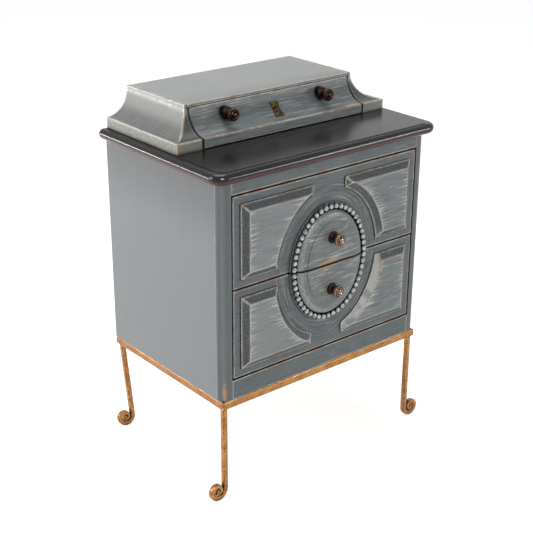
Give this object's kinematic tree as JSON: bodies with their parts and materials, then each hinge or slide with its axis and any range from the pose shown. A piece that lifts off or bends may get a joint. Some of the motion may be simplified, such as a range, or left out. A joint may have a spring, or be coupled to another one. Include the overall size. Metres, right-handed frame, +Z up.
{
  "type": "nightstand",
  "caption": "Nightstand with panelled, bead-ringed drawers, a coved drawer box on its top and a scroll-footed iron stand.",
  "frame": {"origin": "on the floor, under the middle of the whole object's bounding box", "axes": "+Z up, -Y towards the front where the knobs are, +X to the right as seen from the front"},
  "size_m": [0.6208, 0.4482, 0.8145],
  "materials": {
    "painted_wood": "grey-blue paint, dry-brushed and rubbed through at the edges",
    "painted_beads": "grey-blue paint with pale highlights",
    "ebony_board": "very dark brown satin lacquer",
    "inner_wood": "bare sawn wood",
    "drawer_wood": "bare planed wood",
    "gold_iron": "antique gold, rubbed with brown",
    "bronze_knob": "dark antique bronze",
    "antique_brass": "antique brass",
    "screw_steel": "plain zinc-coated"
  },
  "bodies": {
    "case": {"bottom_rail": "painted_wood", "case_back": "inner_wood", "case_bottom": "inner_wood", "case_side_left": "painted_wood", "case_side_right": "painted_wood", "chest_back": "inner_wood", "chest_end_left": "painted_wood", "chest_end_right": "painted_wood", "chest_top": "painted_wood", "corner_post_left": "painted_wood", "corner_post_right": "painted_wood", "divider_rail": "inner_wood", "kicker_left": "inner_wood", "kicker_right": "inner_wood", "lower_runner_left": "inner_wood", "lower_runner_right": "inner_wood", "scroll_leg_back_left": "gold_iron", "scroll_leg_back_right": "gold_iron", "scroll_leg_front_left": "gold_iron", "scroll_leg_front_right": "gold_iron", "stand_back_bar": "gold_iron", "stand_front_bar": "gold_iron", "stand_left_bar": "gold_iron", "stand_right_bar": "gold_iron", "stand_screws": "screw_steel", "top_board": "ebony_board", "top_rail": "painted_wood", "upper_runner_left": "inner_wood", "upper_runner_right": "inner_wood"},
    "upper_drawer": {"upper_drawer_back": "drawer_wood", "upper_drawer_bead_ring": "painted_beads", "upper_drawer_bottom": "drawer_wood", "upper_drawer_front": "painted_wood", "upper_drawer_knob": "bronze_knob", "upper_drawer_knob_screw": "screw_steel", "upper_drawer_medallion": "painted_wood", "upper_drawer_panel_left": "painted_wood", "upper_drawer_panel_right": "painted_wood", "upper_drawer_side_left": "drawer_wood", "upper_drawer_side_right": "drawer_wood"},
    "lower_drawer": {"lower_drawer_back": "drawer_wood", "lower_drawer_bead_ring": "painted_beads", "lower_drawer_bottom": "drawer_wood", "lower_drawer_front": "painted_wood", "lower_drawer_knob": "bronze_knob", "lower_drawer_knob_screw": "screw_steel", "lower_drawer_medallion": "painted_wood", "lower_drawer_panel_left": "painted_wood", "lower_drawer_panel_right": "painted_wood", "lower_drawer_side_left": "drawer_wood", "lower_drawer_side_right": "drawer_wood"},
    "chest_drawer": {"chest_drawer_back": "drawer_wood", "chest_drawer_bottom": "drawer_wood", "chest_drawer_escutcheon": "antique_brass", "chest_drawer_front": "painted_wood", "chest_drawer_knob_screws": "screw_steel", "chest_drawer_knobs": "bronze_knob", "chest_drawer_side_left": "drawer_wood", "chest_drawer_side_right": "drawer_wood"}
  },
  "joints": [
    {"name": "upper_drawer_slide", "type": "slide", "parent": "case", "child": "upper_drawer", "axis": [0, -1, 0], "range_m": [0, 0.28]},
    {"name": "lower_drawer_slide", "type": "slide", "parent": "case", "child": "lower_drawer", "axis": [0, -1, 0], "range_m": [0, 0.28]},
    {"name": "chest_drawer_slide", "type": "slide", "parent": "case", "child": "chest_drawer", "axis": [0, -1, 0], "range_m": [0, 0.14]}
  ]
}
